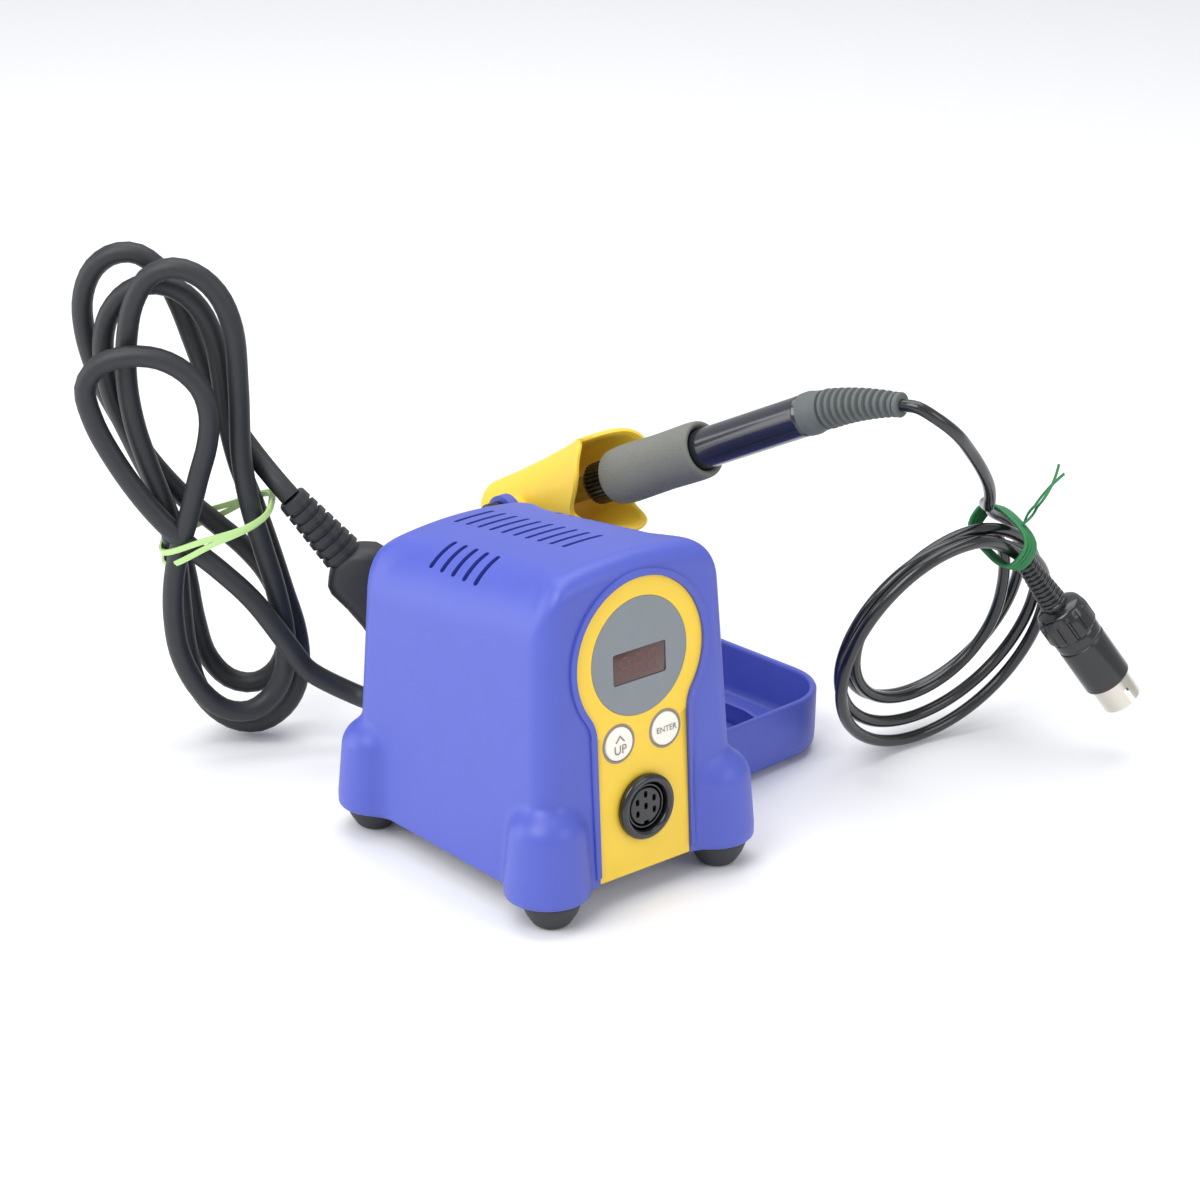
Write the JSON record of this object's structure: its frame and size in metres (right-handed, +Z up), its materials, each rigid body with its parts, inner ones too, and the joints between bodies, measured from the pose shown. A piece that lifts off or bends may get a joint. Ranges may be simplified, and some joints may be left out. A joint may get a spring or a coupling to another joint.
{
  "type": "soldering iron station",
  "caption": "Temperature-controlled soldering station: base unit with inset front panel, iron resting in a free-standing holder, tied mains cord and tied iron cord with connector.",
  "frame": {"origin": "on the floor, under the middle of the box of everything but the cords and what is on them", "axes": "+Z up, the base unit's front panel faces -Y"},
  "size_m": [0.2989, 0.2658, 0.186],
  "materials": {
    "blue_plastic": "fine moulded texture",
    "yellow_plastic": "moulded",
    "grey_plastic": "satin",
    "smoked_window": "smoked red, clear",
    "cream_plastic": "satin",
    "black_plastic": "gloss",
    "black_rubber": "matt",
    "gloss_cord": "gloss",
    "green_tie": "satin",
    "pale_band": "matt",
    "circuit_board": "solder resist",
    "steel": "plated",
    "copper_wire": "enamelled wire, taped",
    "brass": "bright",
    "nickel": "bright nickel",
    "ceramic": "ceramic",
    "foam": "closed-cell foam",
    "navy_handle": "gloss"
  },
  "bodies": {
    "station": {"housing": "blue_plastic", "front_panel": "yellow_plastic", "display_disc": "grey_plastic", "display_window": "smoked_window", "display_module": "black_plastic", "socket_body": "black_plastic", "socket_insert": "black_plastic", "socket_nut": "nickel", "control_board": "circuit_board", "chassis_plate": "steel", "foot_front_left": "black_rubber", "foot_front_right": "black_rubber", "foot_rear_left": "black_rubber", "foot_rear_right": "black_rubber", "foot_screw_front_left": "steel", "foot_screw_front_right": "steel", "foot_screw_rear_left": "steel", "foot_screw_rear_right": "steel", "transformer_core": "steel", "transformer_winding": "copper_wire", "transformer_clamp": "steel", "clamp_screw_1": "steel", "clamp_screw_2": "steel", "switch_frame": "black_plastic", "cord_gland": "black_rubber", "power_cord": "black_rubber", "power_cord_hank": "black_rubber", "rubber_band": "pale_band", "mains_plug": "black_rubber", "plug_blade_1": "brass", "plug_blade_2": "brass"},
    "up_button": {"up_button": "cream_plastic"},
    "enter_button": {"enter_button": "cream_plastic"},
    "power_rocker": {"power_rocker": "black_plastic"},
    "holder": {"holder_tray": "blue_plastic", "holder_case": "blue_plastic", "brass_wool": "brass", "holder_pad_front_left": "black_rubber", "holder_pad_front_right": "black_rubber", "holder_pad_rear_left": "black_rubber", "holder_pad_rear_right": "black_rubber"},
    "receptacle": {"iron_receptacle": "yellow_plastic"},
    "tilt_screw_left": {"tilt_screw_left": "black_plastic"},
    "tilt_screw_right": {"tilt_screw_right": "black_plastic"},
    "iron": {"foam_grip": "foam", "handle": "navy_handle", "heater_barrel": "steel", "heater": "ceramic", "tip": "nickel", "cord_boot": "grey_plastic", "iron_cord": "gloss_cord", "iron_cord_coil": "gloss_cord", "twist_tie": "green_tie", "connector_boot": "gloss_cord", "connector_body": "black_plastic", "connector_collar": "black_plastic", "connector_shell": "nickel", "connector_pins": "black_plastic"},
    "barrel_nut": {"barrel_nut": "black_plastic"}
  },
  "joints": [
    {"name": "up_press", "type": "slide", "parent": "station", "child": "up_button", "axis": [0, 0.9984, -0.0569], "range_m": [0, 0.0005], "stiffness_N_per_m": 1500},
    {"name": "enter_press", "type": "slide", "parent": "station", "child": "enter_button", "axis": [0, 0.9984, -0.0569], "range_m": [0, 0.0005], "stiffness_N_per_m": 1500},
    {"name": "power_switch", "type": "hinge", "parent": "station", "child": "power_rocker", "pos_m": [0.00101, -0.01398, 0.034], "axis": [-0.0523, 0, 0.9986], "range_deg": [-12, 12]},
    {"name": "holder_slide", "type": "slide", "parent": "station", "child": "holder", "axis": [1, 0, 0], "range_m": [0, 0.12]},
    {"name": "receptacle_tilt", "type": "hinge", "parent": "holder", "child": "receptacle", "pos_m": [0.04559, 0.06784, 0.07466], "axis": [0.9976, 0.0698, 0], "range_deg": [-8, 0]},
    {"name": "tilt_screw_left_turn", "type": "hinge", "parent": "holder", "child": "tilt_screw_left", "pos_m": [0.04559, 0.06784, 0.07466], "axis": [0.9976, 0.0698, 0], "range_deg": [-90, 90]},
    {"name": "tilt_screw_right_turn", "type": "hinge", "parent": "holder", "child": "tilt_screw_right", "pos_m": [0.04559, 0.06784, 0.07466], "axis": [0.9976, 0.0698, 0], "range_deg": [-90, 90]},
    {"name": "iron_lift", "type": "slide", "parent": "receptacle", "child": "iron", "axis": [0.1703, -0.8762, 0.4509], "range_m": [0, 0.1]},
    {"name": "barrel_nut_turn", "type": "hinge", "parent": "iron", "child": "barrel_nut", "pos_m": [0.04808, 0.03222, 0.0927], "axis": [0.1703, -0.8762, 0.4509], "range_deg": [-180, 180]}
  ]
}
